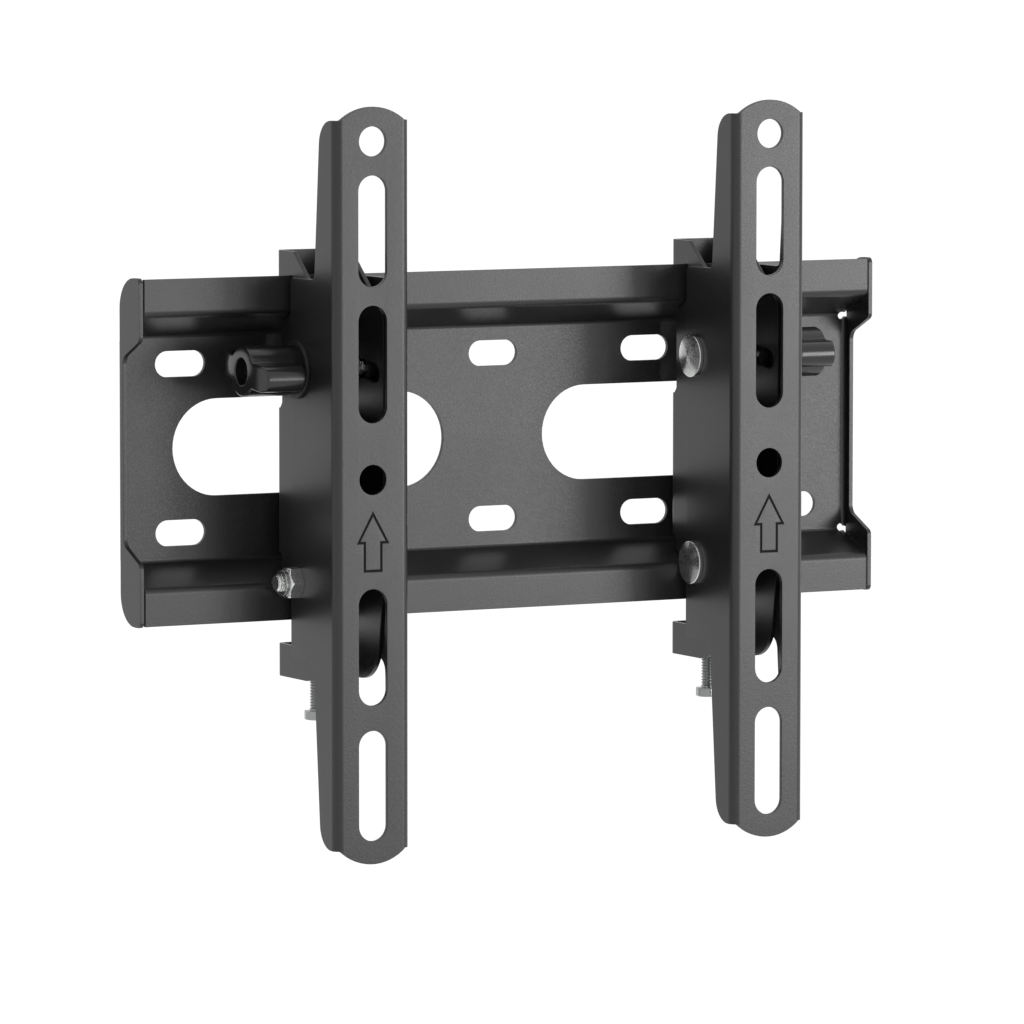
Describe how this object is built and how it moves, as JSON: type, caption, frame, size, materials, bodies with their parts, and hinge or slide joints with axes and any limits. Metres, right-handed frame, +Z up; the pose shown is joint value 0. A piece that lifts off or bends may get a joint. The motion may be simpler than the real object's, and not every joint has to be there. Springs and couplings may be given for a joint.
{
  "type": "tilting tv wall bracket",
  "caption": "Black steel wall bracket for a television: a folded wall plate with two rails, and two hanging arms that slide sideways and tilt forward.",
  "frame": {"origin": "middle of the wall plate's back face, on the wall", "axes": "+Z up, +Y into the wall, -Y towards the television, +X to the right seen from the front"},
  "size_m": [0.372, 0.0695, 0.3317],
  "materials": {
    "black_coat": "fine grained satin powder coat",
    "zinc": "bright zinc plate",
    "black_plastic": "moulded semi gloss",
    "washer_plastic": "matte",
    "white_nylon": "matte"
  },
  "bodies": {
    "wall_frame": {"wall_plate": "black_coat"},
    "left_bracket": {"left_hook_bracket": "black_coat"},
    "left_arm": {"left_tv_arm": "black_coat", "left_tilt_bolt": "zinc", "left_pivot_bolt": "zinc", "left_pivot_nut": "zinc", "left_nut_ring": "white_nylon", "left_knob_washer": "washer_plastic", "left_pivot_spacer": "washer_plastic", "left_tilt_spacer": "washer_plastic"},
    "left_hand_knob": {"left_knob": "black_plastic", "left_knob_nut": "zinc"},
    "left_lock": {"left_lock_screw": "zinc"},
    "right_bracket": {"right_hook_bracket": "black_coat"},
    "right_arm": {"right_tv_arm": "black_coat", "right_tilt_bolt": "zinc", "right_pivot_bolt": "zinc", "right_pivot_nut": "zinc", "right_nut_ring": "white_nylon", "right_knob_washer": "washer_plastic", "right_pivot_spacer": "washer_plastic", "right_tilt_spacer": "washer_plastic"},
    "right_hand_knob": {"right_knob": "black_plastic", "right_knob_nut": "zinc"},
    "right_lock": {"right_lock_screw": "zinc"}
  },
  "joints": [
    {"name": "left_rail_slide", "type": "slide", "parent": "wall_frame", "child": "left_bracket", "axis": [1, 0, 0], "range_m": [-0.071, 0.071]},
    {"name": "left_tilt", "type": "hinge", "parent": "left_bracket", "child": "left_arm", "pos_m": [-0.0955, -0.0327, -0.0585], "axis": [1, 0, 0], "range_deg": [0, 10]},
    {"name": "left_knob_turn", "type": "hinge", "parent": "left_arm", "child": "left_hand_knob", "pos_m": [-0.0955, -0.0327, 0.0352], "axis": [1, 0, 0], "continuous": true},
    {"name": "left_lock_screw_travel", "type": "slide", "parent": "left_bracket", "child": "left_lock", "axis": [0, 0, 1], "range_m": [-0.004, 0.0155]},
    {"name": "right_rail_slide", "type": "slide", "parent": "wall_frame", "child": "right_bracket", "axis": [1, 0, 0], "range_m": [-0.08, 0.062]},
    {"name": "right_tilt", "type": "hinge", "parent": "right_bracket", "child": "right_arm", "pos_m": [0.1045, -0.0327, -0.0585], "axis": [1, 0, 0], "range_deg": [0, 10]},
    {"name": "right_knob_turn", "type": "hinge", "parent": "right_arm", "child": "right_hand_knob", "pos_m": [0.1045, -0.0327, 0.0352], "axis": [1, 0, 0], "continuous": true},
    {"name": "right_lock_screw_travel", "type": "slide", "parent": "right_bracket", "child": "right_lock", "axis": [0, 0, 1], "range_m": [-0.004, 0.0155]}
  ]
}
